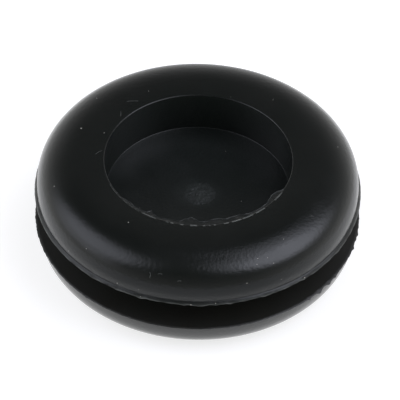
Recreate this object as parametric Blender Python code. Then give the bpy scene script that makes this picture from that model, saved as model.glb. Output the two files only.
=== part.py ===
"""Closed cable grommet, moulded in one piece from soft black PVC.

A round plug with an H-shaped section. Two crowned flanges sit on a short sleeve, and the gap
between them is the groove that the edge of a panel snaps into. A thin membrane closes the sleeve
half way up, so each flange has a round blind recess. A cable is pushed through the membrane.

Sizes are in millimetres here and become metres when the mesh is made. The grommet stands on the
crown of its lower flange, on Z = 0, with its axis on +Z.
"""

from math import cos, pi, radians, sin, tan

import bmesh
import bpy
from mathutils import Vector

MM = 0.001

# The panel that the grommet snaps into
PANEL_HOLE_DIAMETER = 20.0
PANEL_THICKNESS = 2.5
HOLE_CLEARANCE = 0.1  # on the radius, between the groove's root and the hole
PANEL_PLAY = 0.25  # how much wider the groove is than the panel

# The sleeve and its membrane
SLEEVE_WALL = 2.5  # from the groove's root to the recess, at the recess's mouth
MEMBRANE_THICKNESS = 1.8
RECESS_DRAFT = radians(1.0)  # the recess narrows towards its floor, so that the core pin pulls out
FLOOR_FILLET = 0.35
ROOT_FILLET = 0.3

# The flanges, which are alike
FLANGE_OVERHANG = 2.85  # from the groove's root to the flange's side
FLANGE_HEIGHT = 3.0  # from the groove's face to the crown
CROWN_LAND = 1.5  # width of the level ring on the crown, which the grommet stands on
MOUTH_ROUND = 0.2  # radius of the edge between the level ring and the recess
SHOULDER_SQUARENESS = 2.65  # power of the shoulder's curve, where 2 is a plain ellipse

# What the mould leaves: a thin fin round each flange, where its cavity meets the groove ring
FIN_REACH = 0.25
FIN_ROOT_THICKNESS = 0.2
FIN_TIP_THICKNESS = 0.08

# What the mould's pin gate leaves in the middle of the upper membrane face
GATE_DIAMETER = 2.6
GATE_HEIGHT = 0.12
GATE_BEVEL = 0.12

# How finely the round stretches are faceted
TURN_STEPS = 72
SHOULDER_STEPS = 13
FILLET_STEPS = 3

# Heights above the middle of the groove, and radii, worked out from the sizes above
GROOVE_FACE = (PANEL_THICKNESS + PANEL_PLAY) / 2
CROWN = GROOVE_FACE + FLANGE_HEIGHT
MEMBRANE_FACE = MEMBRANE_THICKNESS / 2
ROOT_RADIUS = PANEL_HOLE_DIAMETER / 2 - HOLE_CLEARANCE
MOUTH_RADIUS = ROOT_RADIUS - SLEEVE_WALL
FLOOR_RADIUS = MOUTH_RADIUS - (CROWN - MEMBRANE_FACE) * tan(RECESS_DRAFT)
SIDE_RADIUS = ROOT_RADIUS + FLANGE_OVERHANG
LAND_END = MOUTH_RADIUS + MOUTH_ROUND + CROWN_LAND


def corner_arc(before, corner, after, radius):
    """Points of the round that replaces the corner between two straight stretches."""
    corner = Vector(corner)
    leg_in = (Vector(before) - corner).normalized()
    leg_out = (Vector(after) - corner).normalized()
    half_angle = leg_in.angle(leg_out) / 2
    centre = corner + (leg_in + leg_out).normalized() * (radius / sin(half_angle))
    start = corner + leg_in * (radius / tan(half_angle)) - centre
    end = corner + leg_out * (radius / tan(half_angle)) - centre
    return [tuple(centre + start.slerp(end, i / FILLET_STEPS) * radius) for i in range(FILLET_STEPS + 1)]


def shoulder_arc():
    """A quarter of a rounded square, from the level ring down to the top of the fin."""
    run = SIDE_RADIUS - LAND_END
    foot = GROOVE_FACE + FIN_ROOT_THICKNESS
    power = 2 / SHOULDER_SQUARENESS
    points = []
    for i in range(SHOULDER_STEPS + 1):
        angle = (pi / 2) * (i / SHOULDER_STEPS)
        out = LAND_END + run * sin(angle) ** power
        up = foot + (CROWN - foot) * abs(cos(angle)) ** power
        points.append((out, up))
    return points


def half_section():
    """One half of the section, from the recess's floor over the flange to the groove's root."""
    floor = (0.0, MEMBRANE_FACE)
    floor_corner = (FLOOR_RADIUS, MEMBRANE_FACE)
    mouth = (MOUTH_RADIUS, CROWN)
    land_end = (LAND_END, CROWN)
    fin_tip = SIDE_RADIUS + FIN_REACH
    face_edge = (fin_tip, GROOVE_FACE)
    root_corner = (ROOT_RADIUS, GROOVE_FACE)
    root = (ROOT_RADIUS, 0.0)
    return [
        *corner_arc(floor, floor_corner, mouth, FLOOR_FILLET),
        *corner_arc(floor_corner, mouth, land_end, MOUTH_ROUND),
        *shoulder_arc(),
        (fin_tip, GROOVE_FACE + FIN_TIP_THICKNESS),
        face_edge,
        *corner_arc(face_edge, root_corner, root, ROOT_FILLET),
    ]


def section():
    """The whole section, from the gate mark round the outside to the middle of the underside."""
    gate_radius = GATE_DIAMETER / 2
    gate_mark = [
        (0.0, MEMBRANE_FACE + GATE_HEIGHT),
        (gate_radius - GATE_BEVEL, MEMBRANE_FACE + GATE_HEIGHT),
        (gate_radius, MEMBRANE_FACE),
    ]
    upper = half_section()
    lower = [(radius, -height) for radius, height in reversed(upper)]
    return [*gate_mark, *upper, *lower, (0.0, -MEMBRANE_FACE)]


def soft_black_pvc():
    """Plasticised PVC, black with a faint green cast and a satin skin."""
    material = bpy.data.materials.new("soft_black_pvc")
    material.use_nodes = True
    shader = material.node_tree.nodes["Principled BSDF"]
    shader.inputs["Base Color"].default_value = (0.012, 0.013, 0.0125, 1.0)
    shader.inputs["Roughness"].default_value = 0.42
    shader.inputs["Metallic"].default_value = 0.0
    return material


def turned(name, outline, material):
    """A closed solid of revolution round Z, from a section that starts and ends on the axis."""
    shape = bmesh.new()
    points = [shape.verts.new((radius * MM, 0.0, (height + CROWN) * MM)) for radius, height in outline]
    edges = [shape.edges.new(pair) for pair in zip(points, points[1:])]
    bmesh.ops.spin(
        shape,
        geom=[*points, *edges],
        cent=(0.0, 0.0, 0.0),
        axis=(0.0, 0.0, 1.0),
        angle=2 * pi,
        steps=TURN_STEPS,
        use_merge=True,
    )
    bmesh.ops.remove_doubles(shape, verts=shape.verts, dist=0.001 * MM)
    bmesh.ops.recalc_face_normals(shape, faces=shape.faces)
    mesh = bpy.data.meshes.new(name)
    shape.to_mesh(mesh)
    shape.free()
    mesh.shade_smooth()
    mesh.set_sharp_from_angle(angle=radians(32))
    mesh.materials.append(material)
    piece = bpy.data.objects.new(name, mesh)
    bpy.context.scene.collection.objects.link(piece)
    return piece


for leftover in list(bpy.data.objects):
    bpy.data.objects.remove(leftover)

turned("grommet", section(), soft_black_pvc())
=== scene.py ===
# %% [markdown]
# # Closed cable grommet, moulded in soft black PVC
#
# A closed grommet plugs a round hole in a panel until a cable is pushed through its membrane. It is
# one moulding with an H-shaped section. Everything that the eye notices on it comes from the mould:
# the even curve of the shoulders, the thin torn skins where two halves of the mould met, the rough
# spot where the plastic came in, and the satin that the tool's own finish leaves on the plastic.
#
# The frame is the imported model, which has the grommet's true size. It is loaded first and never
# changed. Its corners are kept, because the finer grommet made here has to fit between them.

from math import atan2, cos, degrees, exp, hypot, pi, radians, sin, tan
from random import Random

import bpy
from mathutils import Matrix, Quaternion, Vector, noise


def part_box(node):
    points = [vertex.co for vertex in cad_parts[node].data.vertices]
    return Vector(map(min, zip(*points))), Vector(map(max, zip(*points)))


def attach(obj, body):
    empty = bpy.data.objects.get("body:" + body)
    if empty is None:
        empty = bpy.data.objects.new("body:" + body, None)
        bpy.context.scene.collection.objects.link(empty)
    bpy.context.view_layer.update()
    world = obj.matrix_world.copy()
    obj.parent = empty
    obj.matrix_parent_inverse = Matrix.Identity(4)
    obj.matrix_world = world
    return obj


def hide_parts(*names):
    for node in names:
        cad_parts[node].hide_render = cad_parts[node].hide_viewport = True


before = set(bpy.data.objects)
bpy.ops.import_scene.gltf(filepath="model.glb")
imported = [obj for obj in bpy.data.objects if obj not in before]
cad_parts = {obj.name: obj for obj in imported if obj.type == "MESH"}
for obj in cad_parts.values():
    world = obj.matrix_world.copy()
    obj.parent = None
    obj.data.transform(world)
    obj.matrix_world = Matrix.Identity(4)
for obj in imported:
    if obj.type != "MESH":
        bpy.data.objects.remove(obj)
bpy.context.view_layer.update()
MM = 0.001
low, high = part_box("grommet")
OUTER_RADIUS = (high.x - low.x) / 2 / MM
FULL_HEIGHT = (high.z - low.z) / MM
print(f"frame: {OUTER_RADIUS * 2:.2f} mm across, {FULL_HEIGHT:.2f} mm high")

# %% [markdown]
# ## Working by place
#
# Each step below picks the points it works on by where they are, as one would with a box or a circle
# select, and then runs one tool on them. The grommet is round, so a place on it is given by a radius
# and a height in millimetres, and by the bearing round the axis. Bearing 0 is the side towards the
# camera, and the bearing grows towards the right.

# %% Helpers that measure a place
def radius_of(point):
    return Vector((point.x, point.y)).length / MM


def bearing_of(point):
    return degrees(atan2(point.x, -point.y))


def on_circle(radius, bearing, height):
    """The place, in metres, at a radius and height in millimetres and a bearing in degrees."""
    turn = radians(bearing)
    return Vector((radius * sin(turn), -radius * cos(turn), height)) * MM


# %% Helpers that pick points by place and draw an outline
def pick(piece, wanted):
    """In edit mode, selects the vertices whose radius and height pass the test."""
    bpy.ops.mesh.select_mode(type="VERT")
    bpy.ops.mesh.select_all(action="DESELECT")
    bpy.ops.object.mode_set(mode="OBJECT")
    count = 0
    for vertex in piece.data.vertices:
        vertex.select = wanted(radius_of(vertex.co), vertex.co.z / MM)
        count += vertex.select
    bpy.ops.object.mode_set(mode="EDIT")
    return count


def pick_spot(piece, radius, height, reach=0.01):
    """In edit mode, selects the vertex at one radius and height."""
    return pick(piece, lambda r, z: abs(r - radius) < reach and abs(z - height) < reach)


def start_outline(name, radius, height):
    """A new piece that is one vertex in the XZ plane, in edit mode and ready to be extruded."""
    bpy.ops.object.select_all(action="DESELECT")
    bpy.ops.mesh.primitive_plane_add(size=MM)
    piece = bpy.context.object
    piece.name = name
    bpy.ops.object.mode_set(mode="EDIT")
    bpy.ops.mesh.merge(type="CENTER")
    bpy.ops.transform.translate(value=(radius * MM, 0, height * MM))
    return piece


def draw_to(*steps):
    """Extrudes the selected vertex step by step, each step being (out, up) in millimetres."""
    for out, up in steps:
        bpy.ops.mesh.extrude_region_move(TRANSFORM_OT_translate={"value": (out * MM, 0, up * MM)})


# %% [markdown]
# ## The section
#
# The mould for a round part is cut on a lathe, so its section says everything. It could be carved
# from a cylinder with insets and bevels, but then each radius would hang on the one before it. Here
# the section is drawn once, corner by corner, and spun round the axis, which is how the toolmaker
# thinks of it. Heights are measured from the middle of the panel groove, so that the lower half can
# be a mirror image of the upper one.
#
# The shoulder is not a plain quarter circle. It is wider than it is high, and squarer than an
# ellipse. So the corner is bevelled while its two legs are equal, with a profile that makes the bevel
# squarer, and then it is pressed down to its height.
#
# The moulding keeps a hair's breadth under the frame's top, because dust and the torn skin at the
# recess's mouth stand a little proud of it.

# %% Sizes of the section, in millimetres
PROUD_ROOM = 0.04
SKIN_REACH = 0.25
FOOT_HEIGHT = 0.2
GROOVE_WIDTH = 2.75
GROOVE_ROOT_RADIUS = 9.9
MEMBRANE_THICKNESS = 1.8
MOUTH_RADIUS = 7.4
MOUTH_ROUND = 0.09
CROWN_LAND = 1.61
RECESS_DRAFT = radians(1.0)
FLOOR_FILLET = 0.05
ROOT_FILLET = 0.3
SHOULDER_PROFILE = 0.593

CROWN = (FULL_HEIGHT - PROUD_ROOM) / 2
FACE = GROOVE_WIDTH / 2
FLOOR = MEMBRANE_THICKNESS / 2
SIDE_RADIUS = OUTER_RADIUS - SKIN_REACH
FLOOR_RADIUS = MOUTH_RADIUS - (CROWN - FLOOR) * tan(RECESS_DRAFT)
LAND_START = MOUTH_RADIUS + MOUTH_ROUND
LAND_END = LAND_START + CROWN_LAND
SHOULDER_RUN = SIDE_RADIUS - LAND_END
SHOULDER_DROP = CROWN - FACE - FOOT_HEIGHT
print(f"shoulder: {SHOULDER_RUN:.2f} mm wide and {SHOULDER_DROP:.2f} mm high")

# %% Draw the upper half, from the axis to the shoulder's corner
body = start_outline("grommet_moulding", 0, FLOOR)
FLOOR_STEPS = 18  # enough to bend the membrane with, and the moulding stays under 200,000 triangles
draw_to(*[(FLOOR_RADIUS / FLOOR_STEPS, 0)] * FLOOR_STEPS)
draw_to((MOUTH_RADIUS - FLOOR_RADIUS, CROWN - FLOOR))
draw_to((LAND_END - MOUTH_RADIUS, 0))
draw_to((SHOULDER_RUN, 0), (0, -SHOULDER_RUN))

# %% Round the shoulder's corner and press it to its height
SHOULDER_SEGMENTS = 28
pick_spot(body, SIDE_RADIUS, CROWN)
bpy.ops.mesh.bevel(
    offset=SHOULDER_RUN * 0.9999 * MM,
    segments=SHOULDER_SEGMENTS,
    profile=SHOULDER_PROFILE,
    affect="VERTICES",
)
bpy.ops.mesh.select_all(action="SELECT")
bpy.ops.mesh.remove_doubles(threshold=0.004 * MM)
pick(body, lambda r, z: r > LAND_END - 0.01)
bpy.ops.transform.resize(
    value=(1, 1, SHOULDER_DROP / SHOULDER_RUN),
    center_override=(0, 0, CROWN * MM),
)
print(f"the pressed corner has {pick(body, lambda r, z: r > LAND_END - 0.01)} points")

# %% Go on from the foot of the shoulder: side, groove face, groove root
pick_spot(body, SIDE_RADIUS, CROWN - SHOULDER_DROP)
draw_to((0, -FOOT_HEIGHT), (GROOVE_ROOT_RADIUS - SIDE_RADIUS, 0), (0, -FACE))

# %% Round the small corners
def round_corner(radius, height, size, segments):
    found = pick_spot(body, radius, height)
    bpy.ops.mesh.bevel(offset=size * MM, segments=segments, affect="VERTICES")
    print(f"rounded {found} corner at radius {radius:.2f}, height {height:.2f}")


round_corner(FLOOR_RADIUS, FLOOR, FLOOR_FILLET, 5)
round_corner(MOUTH_RADIUS, CROWN, MOUTH_ROUND, 8)
round_corner(GROOVE_ROOT_RADIUS, FACE, ROOT_FILLET, 5)

# %% [markdown]
# The membrane is not quite level. It is the last place to cool and it shrinks away from the pins, so
# both of its faces sag into a shallow cone with a rounded tip. The sag is put in when the solid is
# whole, by lowering every point of the two faces by what the cone has at its radius.

# %% Spin it, mirror it, let the membrane sag and set it on its lower crown
MEMBRANE_SAG = 0.38
SAG_TIP_RADIUS = 1.2


def sag_at(radius):
    """How far the membrane sags at a radius: most on the axis, nothing at the recess's wall."""
    at_wall = hypot(FLOOR_RADIUS, SAG_TIP_RADIUS)
    return MEMBRANE_SAG * max(0, at_wall - hypot(radius, SAG_TIP_RADIUS)) / (at_wall - SAG_TIP_RADIUS)


def spin_outline(steps, start=0, turn=360):
    """Turns the outline round the axis. A part turn starts at a bearing and ends on another."""
    bpy.ops.mesh.select_all(action="SELECT")
    bpy.ops.transform.rotate(value=radians(90 - start), orient_axis="Z", center_override=(0, 0, 0))
    bpy.ops.mesh.spin(
        steps=steps,
        angle=radians(-turn),
        center=(0, 0, 0),
        axis=(0, 0, 1),
        use_auto_merge=turn == 360,
    )
    bpy.ops.mesh.select_all(action="SELECT")
    bpy.ops.mesh.remove_doubles(threshold=0.001 * MM)


def apply_modifier(piece, kind, **settings):
    modifier = piece.modifiers.new(kind.lower(), kind)
    for name, value in settings.items():
        setattr(modifier, name, value)
    bpy.ops.object.modifier_apply(modifier=modifier.name)


spin_outline(steps=720)
bpy.ops.object.mode_set(mode="OBJECT")
apply_modifier(body, "MIRROR", use_axis=(False, False, True), merge_threshold=0.005 * MM)
for vertex in body.data.vertices:
    if radius_of(vertex.co) < FLOOR_RADIUS + 0.01 and abs(vertex.co.z) / MM < FLOOR + FLOOR_FILLET:
        vertex.co.z -= sag_at(radius_of(vertex.co)) * MM
bpy.ops.object.mode_set(mode="EDIT")
bpy.ops.mesh.select_all(action="SELECT")
bpy.ops.mesh.normals_make_consistent(inside=False)
bpy.ops.transform.translate(value=(0, 0, CROWN * MM))
bpy.ops.object.mode_set(mode="OBJECT")
bpy.ops.object.shade_smooth_by_angle(angle=radians(32))
triangles = sum(len(face.vertices) - 2 for face in body.data.polygons)
print(f"moulding: {len(body.data.polygons)} faces, which make {triangles} triangles")

# %% [markdown]
# ## Torn skins at the parting planes
#
# A ring in the mould makes the groove, and where its two faces meet the cavities some plastic creeps
# in between. It comes out as a skin thinner than paper all round each flange. Stripping the grommet
# from the ring tears the skin, so it ends in a ragged line, which is paler where it was stretched.
#
# A displaced edge on the moulding itself would need far more points all round its section. The skin
# is a strip of its own instead: a short outline spun in fine steps, its rows moved more and more
# towards the torn edge, and given its thickness last. Nearly all of the raggedness is noise. The few
# large tatters are listed one by one.

# %% A strip that is spun, torn and thickened
SKIN_STEPS = 1440
SKIN_THICKNESS = 0.04


def spun_strip(name, rows, steps=SKIN_STEPS, start=0, turn=360):
    """A strip with one row of points for each (radius, height), which is kept on it as its rows."""
    piece = start_outline(name, *rows[0])
    draw_to(*[(b[0] - a[0], b[1] - a[1]) for a, b in zip(rows, rows[1:])])
    spin_outline(steps, start, turn)
    bpy.ops.object.mode_set(mode="OBJECT")
    return piece


def row_of(vertex, rows):
    """The index of the row that a vertex of a spun strip is in."""
    here = Vector((radius_of(vertex.co), vertex.co.z / MM))
    return min(range(len(rows)), key=lambda i: (here - Vector(rows[i])).length)


def paint_torn(piece, amounts):
    """Keeps for each vertex how much it was stretched when it tore, which the material reads."""
    torn = piece.data.attributes.new("torn", "FLOAT", "POINT")
    torn.data.foreach_set("value", amounts)


def thicken(piece, thickness=SKIN_THICKNESS):
    apply_modifier(piece, "SOLIDIFY", thickness=thickness * MM, offset=0)
    bpy.ops.object.mode_set(mode="EDIT")
    bpy.ops.mesh.select_all(action="SELECT")
    bpy.ops.mesh.normals_make_consistent(inside=False)
    bpy.ops.transform.translate(value=(0, 0, CROWN * MM))
    bpy.ops.object.mode_set(mode="OBJECT")
    bpy.ops.object.shade_smooth_by_angle(angle=radians(60))


# %% What tears it: noise along the edge, and tatters at chosen bearings
def along_edge(bearing, period, seed):
    """Noise from -1 to 1 along a line round the grommet, with a period in millimetres."""
    return noise.noise(on_circle(12.9, bearing, 0) / MM / period + Vector((0, 0, seed)))


def apart(bearing, other):
    """How far one bearing is from another, the short way round."""
    return (bearing - other + 180) % 360 - 180


def tatters(bearing, places):
    """The sum of the rounded tatters at the places given as (bearing, half width, size)."""
    return sum(size * exp(-((apart(bearing, at) / width) ** 2)) for at, width, size in places)


# %% The skin over the groove sticks out and droops
# Its first two rows keep close to the side and the rest slope down steeply, so that no ledge shows
UPPER_ROWS = [
    (SIDE_RADIUS - 0.04, FACE + 0.05),
    (SIDE_RADIUS + 0.02, FACE + 0.02),
    (SIDE_RADIUS + 0.07, FACE - 0.025),
    (SIDE_RADIUS + 0.12, FACE - 0.07),
    (SIDE_RADIUS + 0.16, FACE - 0.115),
    (SIDE_RADIUS + 0.185, FACE - 0.16),
]
UPPER_TATTERS = [
    (-95, 2.0, 0.06),
    (-38, 1.5, 0.08),
    (-28, 0.7, 0.06),
    (-19, 1.2, 0.12),
    (-4, 0.8, 0.07),
    (1.5, 2.0, 0.13),
    (7, 0.8, 0.07),
    (12, 1.2, 0.06),
    (24, 1.0, 0.05),
    (40, 0.7, 0.09),
    (45, 1.6, 0.08),
    (58, 1.2, 0.08),
    (80, 2.5, 0.06),
    (133, 2.0, 0.08),
    (-150, 1.8, 0.08),
]
upper_skin = spun_strip("torn_skin_upper", UPPER_ROWS)
amounts = []
for vertex in upper_skin.data.vertices:
    bearing = bearing_of(vertex.co)
    share = max(0, row_of(vertex, UPPER_ROWS) - 1) / (len(UPPER_ROWS) - 2)
    ragged = 0.03 * along_edge(bearing, 0.25, 1) + 0.02 * along_edge(bearing, 1.1, 2)
    hang = share * (tatters(bearing, UPPER_TATTERS) + ragged)
    curl = share * 0.02 * along_edge(bearing, 0.5, 3)
    vertex.co += on_circle(curl, bearing, -hang)
    amounts.append(share**3 * (0.55 + 0.9 * along_edge(bearing, 0.7, 8)))
paint_torn(upper_skin, amounts)
thicken(upper_skin)

# %% The skin under the groove lies out over the lower shoulder
LOWER_ROWS = [
    (SIDE_RADIUS - 0.05, -FACE - 0.03),
    (SIDE_RADIUS + 0.05, -FACE - 0.03),
    (SIDE_RADIUS + 0.13, -FACE - 0.05),
    (SIDE_RADIUS + 0.19, -FACE - 0.09),
]
LOWER_TATTERS = [
    (-72, 9.0, 0.04),
    (43, 0.6, 0.12),
    (48, 1.0, 0.20),
    (53.5, 0.9, 0.16),
    (57.5, 0.7, 0.10),
    (73, 1.0, 0.10),
    (80, 1.2, 0.08),
    (-41, 0.8, 0.06),
    (120, 1.2, 0.12),
    (-160, 1.5, 0.10),
]
lower_skin = spun_strip("torn_skin_lower", LOWER_ROWS)
for vertex in lower_skin.data.vertices:
    bearing = bearing_of(vertex.co)
    share = row_of(vertex, LOWER_ROWS) / (len(LOWER_ROWS) - 1)
    ragged = 0.05 * along_edge(bearing, 0.3, 4) + 0.03 * along_edge(bearing, 1.3, 5)
    tatter = tatters(bearing, LOWER_TATTERS)
    vertex.co += on_circle(share * (ragged + 0.6 * tatter), bearing, -share * 0.6 * tatter)
thicken(lower_skin)
print(f"skins: {len(upper_skin.data.polygons) + len(lower_skin.data.polygons)} faces")

# %% [markdown]
# ## The film across the edge of the recess
#
# The pin that shapes the recess meets the cavity at the recess's mouth. On the side towards the
# camera it didn't close well, and a film of plastic lies over the edge there. Its outer side is a
# seam that shows as a row of dashes, and its inner side is a wavy torn line with a few loose flaps.
#
# It is made as the skins were, but on a part turn. Its width is the one thing that is listed: a few
# bearings are given the radius that the torn line has there, and the rest lies between them. The
# whole line is then moved towards the axis, most at the front. The dashes are where the seam stands
# a hair higher, and they are paler, because the plastic was stretched there.

# %% The torn line of the film, as (bearing, radius)
TORN_LINE = [
    (-72, 7.70), (-66, 7.60), (-57, 7.62), (-50, 7.55), (-46, 7.48), (-42, 7.56), (-36, 7.58),
    (-33, 7.52), (-31, 7.16), (-29, 7.46), (-24, 7.56), (-19, 7.50), (-15, 7.36), (-11, 7.44),
    (-8, 7.16), (-4, 6.90), (-1, 7.10), (2, 7.36), (6, 7.34), (10, 7.16), (14, 7.12), (18, 7.34),
    (22, 7.26), (27, 7.22), (31, 7.42), (36, 7.50), (42, 7.50), (48, 7.46), (52, 7.26), (56, 7.14),
    (60, 7.22), (63, 7.48), (67, 7.72),
]
FRONT_REACH = 0.36  # how far the line is moved in at bearing 0


def torn_radius(bearing):
    """The film's inner radius at a bearing, eased from one given place to the next."""
    for (at, radius), (next_at, next_radius) in zip(TORN_LINE, TORN_LINE[1:]):
        if at <= bearing <= next_at:
            share = (bearing - at) / (next_at - at)
            share = share * share * (3 - 2 * share)
            return radius + (next_radius - radius) * share
    return TORN_LINE[0][1]


# %% The dashes of its seam, as (from bearing, to bearing, strength)
SEAM_RISE = 0.03
SEAM_DASHES = [
    (-66, -37, 0.5), (-35, -25, 0.6), (-19, -17, 0.5), (-16, -14, 0.7), (-10, -8, 0.6), (-4, 0, 0.8),
    (3.5, 5, 0.6), (7, 8, 0.7), (10, 11, 0.7), (16, 19, 0.8), (21, 27, 0.9), (28, 35, 1.0),
    (37, 44, 0.9), (53, 61, 0.6),
]


def seam_strength(bearing):
    return max([strength for start, end, strength in SEAM_DASHES if start < bearing < end], default=0)


# %% The film itself, from the seam inwards
FILM_THICKNESS = 0.03
FILM_SEAM = 7.55
SEAM_WIDTH = 0.09
LEAST_WIDTH = 0.12
FILM_HEIGHT = CROWN - 0.024
FILM_ROWS = [(FILM_SEAM - 0.08 * i, FILM_HEIGHT) for i in range(11)]
FILM_START = TORN_LINE[0][0]
FILM_TURN = TORN_LINE[-1][0] - FILM_START
film = spun_strip("torn_film_at_mouth", FILM_ROWS, FILM_TURN * 4, FILM_START, FILM_TURN)
bearings = [bearing_of(vertex.co) for vertex in film.data.vertices]
print(f"film: from bearing {min(bearings):.0f} to {max(bearings):.0f}")
amounts = []
for vertex in film.data.vertices:
    bearing = bearing_of(vertex.co)
    row = row_of(vertex, FILM_ROWS)
    share = row / (len(FILM_ROWS) - 1)
    torn = torn_radius(bearing) - FRONT_REACH * cos(radians(bearing)) + 0.03 * along_edge(bearing, 0.25, 6)
    radius = FILM_SEAM + (min(torn, FILM_SEAM - LEAST_WIDTH) - FILM_SEAM) * share
    dash = seam_strength(bearing) * (1 + 0.5 * along_edge(bearing, 0.4, 10)) if row < 2 else 0
    if row == 1:
        radius = FILM_SEAM - SEAM_WIDTH
    sag = share * (0.05 + 0.06 * along_edge(bearing, 0.9, 7))
    curl = 0.03 * max(0, share - 0.8) / 0.2
    vertex.co = on_circle(radius, bearing, FILM_HEIGHT - sag + curl + SEAM_RISE * min(1, dash))
    edge = 0.35 + 0.9 * along_edge(bearing, 0.8, 9) if row == len(FILM_ROWS) - 1 else 0
    amounts.append(max(edge, dash))
paint_torn(film, amounts)
thicken(film, FILM_THICKNESS)

# %% [markdown]
# ## Gate mark
#
# The plastic came in through a pin gate in the middle of the upper membrane face. Breaking the gate
# off leaves a round spot, slightly raised, that is rough like a torn crumb of rubber.
#
# It starts as a disc that is inset ring by ring, so that it has enough points to be roughened with
# noise of three sizes. It follows the sag of the membrane and runs out into it at its edge, and it
# sits a little to the right of the axis.

# %% A raised disc, inset into rings and roughened
GATE_RADIUS = 1.35
GATE_HEIGHT = 0.08
GATE_ASIDE = 0.08
GATE_RINGS = 22
DISC_THICKNESS = 0.2
GATE_BASE = CROWN + FLOOR - MEMBRANE_SAG - DISC_THICKNESS
bpy.ops.object.select_all(action="DESELECT")
bpy.ops.mesh.primitive_cylinder_add(
    vertices=144,
    radius=GATE_RADIUS * MM,
    depth=DISC_THICKNESS * MM,
    end_fill_type="NGON",
    location=(0, 0, (GATE_BASE + DISC_THICKNESS / 2) * MM),
)
gate = bpy.context.object
gate.name = "gate_mark"
bpy.ops.object.transform_apply(location=True, rotation=True, scale=True)
bpy.ops.object.mode_set(mode="EDIT")
bpy.ops.mesh.select_mode(type="FACE")
bpy.ops.mesh.select_all(action="DESELECT")
bpy.ops.object.mode_set(mode="OBJECT")
for face in gate.data.polygons:
    face.select = face.normal.z > 0.9
bpy.ops.object.mode_set(mode="EDIT")
for ring in range(GATE_RINGS):
    bpy.ops.mesh.inset(thickness=GATE_RADIUS / (GATE_RINGS + 1) * MM)
bpy.ops.object.mode_set(mode="OBJECT")
amounts = []
for vertex in gate.data.vertices:
    radius, bearing = radius_of(vertex.co), bearing_of(vertex.co)
    out = radius / GATE_RADIUS
    place = vertex.co / MM
    crumb = noise.noise(place / 0.16) + 0.7 * noise.noise(place / 0.38) + 0.5 * noise.noise(place / 0.9)
    if place.z > GATE_BASE + DISC_THICKNESS / 2:
        rise = GATE_HEIGHT * (1 - out**3) + 0.04 * crumb * (1 - 0.6 * out)
        vertex.co.z = (CROWN + FLOOR - sag_at(radius) + rise) * MM
    vertex.co += on_circle(0.12 * out * noise.noise(on_circle(2.4, bearing, 0) / MM), bearing, 0)
    vertex.co.x += GATE_ASIDE * MM
    amounts.append((1 - out**3) * (0.75 + 0.7 * noise.noise(place / 0.3)))
paint_torn(gate, amounts)
bpy.ops.object.shade_smooth_by_angle(angle=radians(60))
print(f"gate mark: {len(gate.data.polygons)} faces")

# %% [markdown]
# ## Dust and lint
#
# Soft PVC is a little tacky, so a loose grommet always carries some grains of dust and a few short
# fibres. A grain is a small ball, flattened and dented. It is seated on the surface by a ray that is
# shot at the moulding from above, or from the side for the places near the parting planes. The few
# that hang on the torn skin are set down at the skin's own radius. A fibre is a thin curve laid over
# the surface through three places.

# %% Find the surface
def surface_under(bearing, radius):
    """The place and the normal of the moulding's surface straight below a bearing and radius."""
    start = on_circle(radius, bearing, FULL_HEIGHT + 1)
    return body.ray_cast(start, Vector((0, 0, -1)))[1:3]


def surface_beside(bearing, height):
    """The same, straight in towards the axis at a height."""
    start = on_circle(OUTER_RADIUS + 2, bearing, height)
    return body.ray_cast(start, -on_circle(1, bearing, 0).normalized())[1:3]


# %% Grains of dust: (bearing, radius, size) on top, (bearing, height, size) on the side and the skin
GRAINS_ON_TOP = [
    (-109, 9.9, 0.10), (-110, 8.0, 0.07), (-75, 11.6, 0.08), (-43, 12.4, 0.08), (-36, 9.0, 0.07),
    (18, 12.6, 0.06), (24, 11.5, 0.07), (23, 11.85, 0.07), (29.2, 12.1, 0.07), (27.8, 11.66, 0.05),
    (-58, 4.4, 0.07), (-66, 5.0, 0.05), (75, 3.6, 0.05), (161, 7.7, 0.05), (155, 5.2, 0.05),
    (-130, 10.8, 0.05), (140, 9.2, 0.05), (100, 11.2, 0.05), (37.8, 10.86, 0.06), (-152, 8.8, 0.05),
]
GRAINS_ON_SIDE = [
    (-28.2, 6.05, 0.09), (-20, 6.2, 0.05), (31, 6.5, 0.05), (-51, 6.2, 0.06), (150, 6.2, 0.06),
]
GRAINS_ON_SKIN = [(-1.5, 5.62, 0.11), (6.8, 5.74, 0.08), (40.2, 5.70, 0.11), (-19, 5.68, 0.06)]
luck = Random(11)


def add_grain(place, normal, size):
    bpy.ops.mesh.primitive_ico_sphere_add(subdivisions=2, radius=size / 2 * MM, location=place)
    grain = bpy.context.object
    grain.rotation_mode = "QUATERNION"
    grain.rotation_quaternion = normal.to_track_quat("Z", "Y") @ Quaternion((0, 0, 1), luck.uniform(0, 6))
    grain.scale = (luck.uniform(0.8, 1.3), luck.uniform(0.6, 1.0), 0.45)
    for vertex in grain.data.vertices:
        vertex.co *= 1 + 0.35 * noise.noise(vertex.co / (0.4 * size * MM) + Vector((0, 0, len(grains))))
    return grain


grains = []
bpy.ops.object.select_all(action="DESELECT")
for bearing, radius, size in GRAINS_ON_TOP:
    grains.append(add_grain(*surface_under(bearing, radius), size))
for bearing, height, size in GRAINS_ON_SIDE:
    grains.append(add_grain(*surface_beside(bearing, height), size))
for bearing, height, size in GRAINS_ON_SKIN:
    outward = on_circle(1, bearing, 0).normalized()
    grains.append(add_grain(on_circle(OUTER_RADIUS - 0.05, bearing, height), outward, size))


def join_pieces(pieces, name):
    """Joins pieces into one, with the object at the origin and its place in its mesh."""
    bpy.ops.object.select_all(action="DESELECT")
    for piece in pieces:
        piece.select_set(True)
    bpy.context.view_layer.objects.active = pieces[0]
    bpy.ops.object.join()
    bpy.ops.object.transform_apply(location=True, rotation=True, scale=True)
    joined = bpy.context.object
    joined.name = name
    bpy.ops.object.shade_smooth()
    return joined


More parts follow.
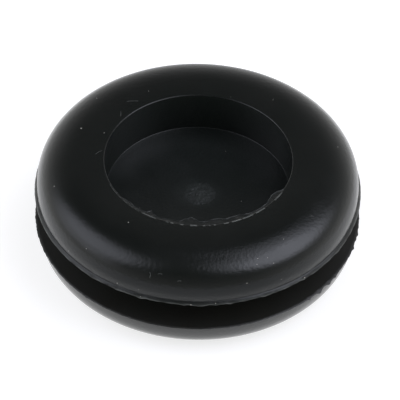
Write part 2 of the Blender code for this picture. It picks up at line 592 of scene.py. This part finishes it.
dust = join_pieces(grains, "dust_grains")
print(f"dust: {len(grains)} grains, {len(dust.data.polygons)} faces")

# %% Lint: fibres through (bearing, radius) places seen from above
FIBRE_THICKNESS = 0.024
FIBRES = [
    [(-95, 7.65), (-94, 7.9), (-92, 8.1)],
    [(-127, 7.85), (-128.5, 8.0), (-130, 8.2)],
    [(-16.5, 12.45), (-16, 12.3), (-16.8, 12.2)],
    [(-13.6, 12.2), (-12.8, 12.1), (-12.2, 12.2)],
    [(-6.4, 12.42), (-5.8, 12.32), (-5.2, 12.4)],
    [(55, 10.6), (55.8, 10.7), (56, 10.85)],
    [(-143, 8.2), (-141, 8.5), (-138, 8.7)],
]


def add_fibre(places):
    curve = bpy.data.curves.new("fibre", "CURVE")
    curve.dimensions = "3D"
    curve.bevel_depth = FIBRE_THICKNESS / 2 * MM
    curve.bevel_resolution = 1
    curve.use_fill_caps = True
    thread = curve.splines.new("NURBS")
    thread.points.add(len(places) - 1)
    thread.use_endpoint_u = True
    for point, (bearing, radius) in zip(thread.points, places):
        place, normal = surface_under(bearing, radius)
        point.co = (*(place + normal * FIBRE_THICKNESS * 0.3 * MM), 1)
    fibre = bpy.data.objects.new("fibre", curve)
    bpy.context.scene.collection.objects.link(fibre)
    bpy.ops.object.select_all(action="DESELECT")
    fibre.select_set(True)
    bpy.context.view_layer.objects.active = fibre
    bpy.ops.object.convert(target="MESH")
    return bpy.context.object


lint = join_pieces([add_fibre(places) for places in FIBRES], "lint_fibres")
print(f"lint: {len(FIBRES)} fibres, {len(lint.data.polygons)} faces")

# %% [markdown]
# ## Soft PVC, black, moulded in a satin tool
#
# The plastic is polyvinyl chloride softened with an oily plasticiser and coloured with a little
# carbon black, which leaves it a faint green cast. Its reflections are those of any plastic. The
# tool's cavity was spark eroded, so the skin is satin, with a fine grain that breaks up the ends of
# each highlight. The colour alone would be a black hole: all of the form comes from the sheen.
#
# The rest is the same plastic with another finish. The pins that shape the recesses were blasted and
# the ring that shapes the groove was left as it was turned, so both leave it duller. The groove's
# colour is also painted lighter than the skin's, as a painted fill that lifts the shade deep in the
# groove and on the lower skin. Where it was torn, stretching has made it paler, and each torn piece
# carries the amount as an attribute.

# %% Colour and node helpers
def linear(code):
    """A hex sRGB colour as linear RGBA."""
    channels = [int(code[i:i + 2], 16) / 255 for i in (1, 3, 5)]
    return (*[c / 12.92 if c <= 0.04045 else ((c + 0.055) / 1.055) ** 2.4 for c in channels], 1.0)


def add_node(tree, kind, links=(), **settings):
    """Adds a node. Settings name its properties, or its input sockets; links are (socket, output)."""
    node = tree.nodes.new(kind)
    for name, value in settings.items():
        if hasattr(node, name):
            setattr(node, name, value)
        else:
            node.inputs[name.replace("_", " ")].default_value = value
    for socket, output in links:
        tree.links.new(output, node.inputs[socket])
    return node


def new_material(name):
    material = bpy.data.materials.new(name)
    material.use_nodes = True
    return material, material.node_tree, material.node_tree.nodes["Principled BSDF"]


def millimetres(tree):
    """Object coordinates with 1 for a millimetre."""
    place = add_node(tree, "ShaderNodeTexCoord")
    scaled = add_node(
        tree, "ShaderNodeVectorMath", [(0, place.outputs["Object"])], operation="SCALE", Scale=1 / MM
    )
    return scaled.outputs[0]


# %% The moulded skin
GRAIN_PERIOD = 0.24  # a spark-eroded grain is nearer 0.05 mm, which is too fine to show
GRAIN_DEPTH = 0.015
WAVE_PERIOD = 2.5  # slow unevenness of the soft skin


def satin_pvc(name, colours, roughness):
    """Moulded black PVC: a dark colour and a gloss that vary a little, and a fine grain."""
    material, tree, shader = new_material(name)
    place = millimetres(tree)
    blotches = add_node(tree, "ShaderNodeTexNoise", [("Vector", place)], Scale=0.35, Detail=3)
    shades = add_node(tree, "ShaderNodeMix", [("Factor", blotches.outputs["Fac"])], data_type="RGBA")
    shades.inputs[6].default_value = linear(colours[0])
    shades.inputs[7].default_value = linear(colours[1])
    tree.links.new(shades.outputs[2], shader.inputs["Base Color"])
    grain = add_node(tree, "ShaderNodeTexNoise", [("Vector", place)], Scale=1 / GRAIN_PERIOD, Detail=2)
    wave = add_node(tree, "ShaderNodeTexNoise", [("Vector", place)], Scale=1 / WAVE_PERIOD, Detail=1)
    gloss = add_node(
        tree,
        "ShaderNodeMapRange",
        [("Value", wave.outputs["Fac"])],
        From_Min=0.3,
        From_Max=0.7,
        To_Min=roughness[0],
        To_Max=roughness[1],
    )
    tree.links.new(gloss.outputs["Result"], shader.inputs["Roughness"])
    bump = add_node(
        tree,
        "ShaderNodeBump",
        [("Height", grain.outputs["Fac"])],
        Strength=1.0,
        Distance=GRAIN_DEPTH * MM,
    )
    tree.links.new(bump.outputs["Normal"], shader.inputs["Normal"])
    shader.inputs["IOR"].default_value = 1.53
    return material


pvc = satin_pvc("soft_pvc_satin_moulded", ("#121513", "#151715"), (0.22, 0.26))
# the groove ring's colours are painted lighter than the skin's: a painted fill for the groove's shade
ring_pvc = satin_pvc("soft_pvc_groove_ring_painted_lighter", ("#1d1d1a", "#21211d"), (0.4, 0.5))
print(f"materials: {pvc.name}, {ring_pvc.name}")

# %% The recess: the pins are blasted, and the plastic is paler where it rushed in round the gate
pin_pvc = satin_pvc("soft_pvc_blasted_pin", ("#111513", "#171b19"), (0.3, 0.36))
tree = pin_pvc.node_tree
shader = tree.nodes["Principled BSDF"]
flat = add_node(tree, "ShaderNodeVectorMath", [(0, millimetres(tree))], operation="MULTIPLY")
flat.inputs[1].default_value = (1, 1, 0)
from_axis = add_node(tree, "ShaderNodeVectorMath", [(0, flat.outputs[0])], operation="LENGTH")
blush = add_node(
    tree,
    "ShaderNodeMapRange",
    [("Value", from_axis.outputs["Value"])],
    From_Min=1.1,
    From_Max=2.1,
    To_Min=0.8,
    To_Max=0,
)
streaks = add_node(tree, "ShaderNodeTexNoise", [("Vector", millimetres(tree))], Scale=3, Detail=3)
patchy = add_node(
    tree, "ShaderNodeMath", [(0, blush.outputs[0]), (1, streaks.outputs["Fac"])], operation="MULTIPLY"
)
own_colour = shader.inputs["Base Color"].links[0].from_socket
blushed = add_node(
    tree, "ShaderNodeMix", [("Factor", patchy.outputs[0]), (6, own_colour)], data_type="RGBA"
)
blushed.inputs[7].default_value = linear("#292d2b")
tree.links.new(blushed.outputs[2], shader.inputs["Base Color"])
print(f"material: {pin_pvc.name}, of {len(tree.nodes)} nodes")

# %% The torn edges and the broken gate: the same plastic, paler where it was stretched
def stretched_pvc(name, colours, pale, roughness):
    """The moulded plastic, mixed with a paler colour by the torn attribute."""
    material = satin_pvc(name, colours, roughness)
    tree = material.node_tree
    shader = tree.nodes["Principled BSDF"]
    stretched = add_node(tree, "ShaderNodeAttribute", attribute_name="torn")
    own_colour = shader.inputs["Base Color"].links[0].from_socket
    paled = add_node(
        tree, "ShaderNodeMix", [("Factor", stretched.outputs["Fac"]), (6, own_colour)], data_type="RGBA"
    )
    paled.inputs[7].default_value = linear(pale)
    tree.links.new(paled.outputs[2], shader.inputs["Base Color"])
    return material


torn_pvc = stretched_pvc("soft_pvc_torn_edge", ("#141715", "#171917"), "#595c5a", (0.3, 0.4))
crumbled_pvc = stretched_pvc("soft_pvc_broken_gate", ("#161a18", "#1a1e1c"), "#2b2f2d", (0.38, 0.48))
print(f"materials: {torn_pvc.name}, {crumbled_pvc.name}")

# %% Dust and lint: pale matt fibre and grit
def matt(name, darker, paler):
    """Something dull and dry, mottled between two colours."""
    material, tree, shader = new_material(name)
    mottle = add_node(tree, "ShaderNodeTexNoise", [("Vector", millimetres(tree))], Scale=9, Detail=2)
    shades = add_node(tree, "ShaderNodeMix", [("Factor", mottle.outputs["Fac"])], data_type="RGBA")
    shades.inputs[6].default_value = linear(darker)
    shades.inputs[7].default_value = linear(paler)
    tree.links.new(shades.outputs[2], shader.inputs["Base Color"])
    shader.inputs["Roughness"].default_value = 0.9
    return material


dust_grit = matt("dust_mineral_grit", "#8e8c86", "#c4c1ba")
cotton = matt("lint_cotton_fibre", "#474948", "#626462")
print(f"materials: {dust_grit.name}, {cotton.name}")

# %% Give the pieces their materials and fit them to the frame
for piece, material in [
    (body, pvc),
    (upper_skin, torn_pvc),
    # the lower skin lies in the groove's shade and takes the groove's colour, which is painted lighter
    (lower_skin, ring_pvc),
    (film, torn_pvc),
    (gate, crumbled_pvc),
    (dust, dust_grit),
    (lint, cotton),
]:
    piece.data.materials.clear()
    piece.data.materials.append(material)
    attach(piece, "root")
    print(f"{piece.name} is {material.name}")
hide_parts("grommet")

# %% The faces that the pins and the groove ring shaped
PVC_SLOT, PIN_SLOT, RING_SLOT = range(3)
body.data.materials.append(pin_pvc)
# the groove's faces take the colour that is painted lighter as a fill for their shade
body.data.materials.append(ring_pvc)
counts = [0, 0, 0]
for face in body.data.polygons:
    radius, height = radius_of(face.center), face.center.z / MM - CROWN
    if radius < MOUTH_RADIUS + 0.005:
        face.material_index = PIN_SLOT
    elif radius < SIDE_RADIUS - 0.06 and abs(height) < FACE + 0.001:
        face.material_index = RING_SLOT
    counts[face.material_index] += 1
print(f"faces: {counts[PVC_SLOT]} cavity, {counts[PIN_SLOT]} pins, {counts[RING_SLOT]} groove ring")

# %% [markdown]
# ## Studio
#
# A satin black thing is lit by what it reflects. Two softboxes stand to the right and the left, each
# giving one long soft highlight on the shoulder, and the room above and in front of them is dark, so
# the crown stays dark too. A softbox is brightest in its middle, where the bulb is, so each is one
# wide lamp with a smaller one inside it. A reflector behind the right one draws its highlight out
# towards the back, and a weak low lamp draws the left one out towards the front. A fill that
# reflections don't see brings the light level up to where a colour renders about as it is written.
#
# The floor is a sheet of white paper that is bright to the sides and behind, and falls off towards
# the camera. What the grommet's sides reflect is that paper, so their grey tells how bright it is.
# Straight behind the grommet, paper and room are darker, because the two pale walls end there.

# %% Softboxes
LAMP_DISTANCE = 0.6


def softbox(name, bearing, elevation, half_width, half_height, radiance):
    """A round area lamp that faces the grommet, its size given as seen from there, in degrees."""
    place = Vector((
        sin(radians(bearing)) * cos(radians(elevation)),
        -cos(radians(bearing)) * cos(radians(elevation)),
        sin(radians(elevation)),
    )) * LAMP_DISTANCE
    bpy.ops.object.light_add(type="AREA", location=place)
    lamp = bpy.context.object
    lamp.name = name
    lamp.rotation_euler = place.to_track_quat("Z", "Y").to_euler()
    lamp.data.shape = "ELLIPSE"
    lamp.data.size = 2 * LAMP_DISTANCE * tan(radians(half_width))
    lamp.data.size_y = 2 * LAMP_DISTANCE * tan(radians(half_height))
    lamp.data.energy = radiance * pi * (pi / 4 * lamp.data.size * lamp.data.size_y)
    lamp.data.color = linear("#eef1ff")[:3]
    lamp.visible_camera = False
    print(f"{name}: {lamp.data.size * 100:.0f} by {lamp.data.size_y * 100:.0f} cm, {lamp.data.energy:.2f} W")


# bearing, elevation, half width, half height, radiance
softbox("softbox_right", 80, 54, 31, 31, 0.85)
softbox("softbox_right_middle", 80, 53, 22, 20, 1.9)
softbox("softbox_right_reflector", 136, 65, 15, 10, 1.0)
softbox("softbox_left", -86, 41, 29, 31, 0.88)
softbox("softbox_left_middle", -86, 45, 21, 17, 0.75)
softbox("softbox_left_low", -64, 12, 13, 10, 0.4)

# %% White paper floor
def gap_behind(tree, way, brightness, share_left, narrow, wide):
    """Dims the brightness straight behind the grommet, where the room ends between its two walls."""
    aside = add_node(tree, "ShaderNodeMath", [(0, way.outputs["X"])], operation="ABSOLUTE")
    walls = add_node(
        tree,
        "ShaderNodeMapRange",
        [("Value", aside.outputs[0])],
        From_Min=narrow,
        From_Max=wide,
        To_Min=share_left,
        To_Max=1,
    )
    front = add_node(
        tree,
        "ShaderNodeMapRange",
        [("Value", way.outputs["Y"])],
        From_Min=0.2,
        From_Max=0,
        To_Min=0,
        To_Max=1,
    )
    share = add_node(
        tree,
        "ShaderNodeMath",
        [(0, walls.outputs["Result"]), (1, front.outputs["Result"])],
        operation="MAXIMUM",
    )
    lit = add_node(
        tree, "ShaderNodeMath", [(0, brightness.outputs[0]), (1, share.outputs[0])], operation="MULTIPLY"
    )
    return lit.outputs[0]


bpy.ops.object.select_all(action="DESELECT")
bpy.ops.mesh.primitive_circle_add(vertices=128, radius=0.05, fill_type="NGON", location=(0, 0, -0.00001))
floor = bpy.context.object
floor.name = "studio_floor"
paper, tree, shader = new_material("white_paper_sweep")
shader.inputs["Base Color"].default_value = linear("#bcbcbc")
shader.inputs["Roughness"].default_value = 0.9
shader.inputs["Specular IOR Level"].default_value = 0.0
rays = add_node(tree, "ShaderNodeLightPath")
radius = add_node(tree, "ShaderNodeVectorMath", [(0, millimetres(tree))], operation="LENGTH")
way = add_node(tree, "ShaderNodeVectorMath", [(0, millimetres(tree))], operation="NORMALIZE")
way = add_node(tree, "ShaderNodeSeparateXYZ", [("Vector", way.outputs["Vector"])])
close = add_node(
    tree,
    "ShaderNodeMapRange",
    [("Value", radius.outputs["Value"])],
    From_Min=14,
    From_Max=21,
    To_Min=1.2,
    To_Max=0,
    interpolation_type="SMOOTHSTEP",
)
sweep = add_node(
    tree,
    "ShaderNodeMapRange",
    [("Value", way.outputs["Y"])],
    From_Min=-0.8,
    From_Max=0.75,
    To_Min=0.0,
    To_Max=1.25,
)
brightness = add_node(
    tree,
    "ShaderNodeMath",
    [(0, close.outputs["Result"]), (1, sweep.outputs["Result"])],
    operation="MAXIMUM",
)
seen = add_node(
    tree,
    "ShaderNodeMath",
    [(0, rays.outputs["Is Camera Ray"]), (1, rays.outputs["Is Transmission Ray"])],
    operation="MAXIMUM",
)
seen = add_node(tree, "ShaderNodeMath", [(0, seen.outputs[0])], operation="MULTIPLY")
seen.inputs[1].default_value = 0.7
dimmed = gap_behind(tree, way, brightness, 0.42, 0.2, 0.4)
mirrored = add_node(
    tree,
    "ShaderNodeMath",
    [(0, rays.outputs["Is Glossy Ray"]), (1, dimmed), (2, seen.outputs[0])],
    operation="MULTIPLY_ADD",
)
shader.inputs["Emission Color"].default_value = (1, 1, 1, 1)
tree.links.new(mirrored.outputs[0], shader.inputs["Emission Strength"])
floor.data.materials.append(paper)
print(f"floor: {floor.dimensions.x * 100:.0f} cm across")

# %% World: white behind everything, a low glow that reflections see, and the fill
FILL_AT_HORIZON = 2.8
FILL_ABOVE = 0.15
world = bpy.data.worlds.new("studio")
bpy.context.scene.world = world
world.use_nodes = True
tree = world.node_tree
background = tree.nodes["Background"]
background.inputs["Color"].default_value = (1, 1, 1, 1)
rays = add_node(tree, "ShaderNodeLightPath")
way = add_node(tree, "ShaderNodeTexCoord")
way = add_node(tree, "ShaderNodeSeparateXYZ", [("Vector", way.outputs["Generated"])])
upward = add_node(
    tree,
    "ShaderNodeMapRange",
    [("Value", way.outputs["Z"])],
    From_Min=0,
    From_Max=0.78,
    To_Min=1,
    To_Max=0,
)
falloff = add_node(tree, "ShaderNodeMath", [(0, upward.outputs["Result"])], operation="POWER")
falloff.inputs[1].default_value = 1.3
behind = add_node(
    tree,
    "ShaderNodeMapRange",
    [("Value", way.outputs["Y"])],
    From_Min=-0.9,
    From_Max=0.9,
    To_Min=0.2,
    To_Max=1.2,
)
glow = add_node(
    tree,
    "ShaderNodeMath",
    [(0, falloff.outputs[0]), (1, behind.outputs["Result"])],
    operation="MULTIPLY",
)
seen = add_node(
    tree,
    "ShaderNodeMath",
    [(0, rays.outputs["Is Camera Ray"]), (1, rays.outputs["Is Transmission Ray"])],
    operation="MAXIMUM",
)
fill = add_node(
    tree,
    "ShaderNodeMapRange",
    [("Value", way.outputs["Z"])],
    From_Min=0.0,
    From_Max=0.5,
    To_Min=FILL_AT_HORIZON,
    To_Max=FILL_ABOVE,
)
filled = add_node(
    tree,
    "ShaderNodeMath",
    [(0, rays.outputs["Is Diffuse Ray"]), (1, fill.outputs["Result"]), (2, seen.outputs[0])],
    operation="MULTIPLY_ADD",
)
dimmed = gap_behind(tree, way, glow, 0.72, 0.1, 0.35)
strength = add_node(
    tree,
    "ShaderNodeMath",
    [(0, rays.outputs["Is Glossy Ray"]), (1, dimmed), (2, filled.outputs[0])],
    operation="MULTIPLY_ADD",
)
tree.links.new(strength.outputs[0], background.inputs["Strength"])
print(f"fill: {FILL_AT_HORIZON} at the horizon, {FILL_ABOVE} above")

# %% [markdown]
# ## Camera
#
# A long lens about a quarter of a metre away, looking down at 44 degrees. At that distance the rim
# near the camera is a little larger than the far one, which tells the eye how small the grommet is.

# %% Camera
LENS = 265.3
DISTANCE = 234.0
ELEVATION = radians(44.08)
ROLL = radians(1.22)
seen_middle = Vector((0, 0, FULL_HEIGHT / 2 + FACE)) * MM
back = Vector((0, -cos(ELEVATION), sin(ELEVATION)))
side = Vector((cos(ROLL), sin(ELEVATION) * sin(ROLL), cos(ELEVATION) * sin(ROLL)))
above = back.cross(side)
aim = seen_middle + side * 0.170 * MM - above * 1.141 * MM
bpy.ops.object.camera_add(location=seen_middle + back * DISTANCE * MM)
camera = bpy.context.object
camera.rotation_mode = "QUATERNION"
camera.rotation_quaternion = (camera.location - aim).to_track_quat("Z", "Y") @ Quaternion((0, 0, 1), ROLL)
camera.data.lens = LENS
camera.data.sensor_width = 36
camera.data.clip_start = 0.01
camera.data.clip_end = 10
bpy.context.scene.camera = camera
bpy.context.scene.view_settings.view_transform = "Standard"
print(f"camera: {DISTANCE:.0f} mm away, looking down at {degrees(ELEVATION):.0f} degrees")
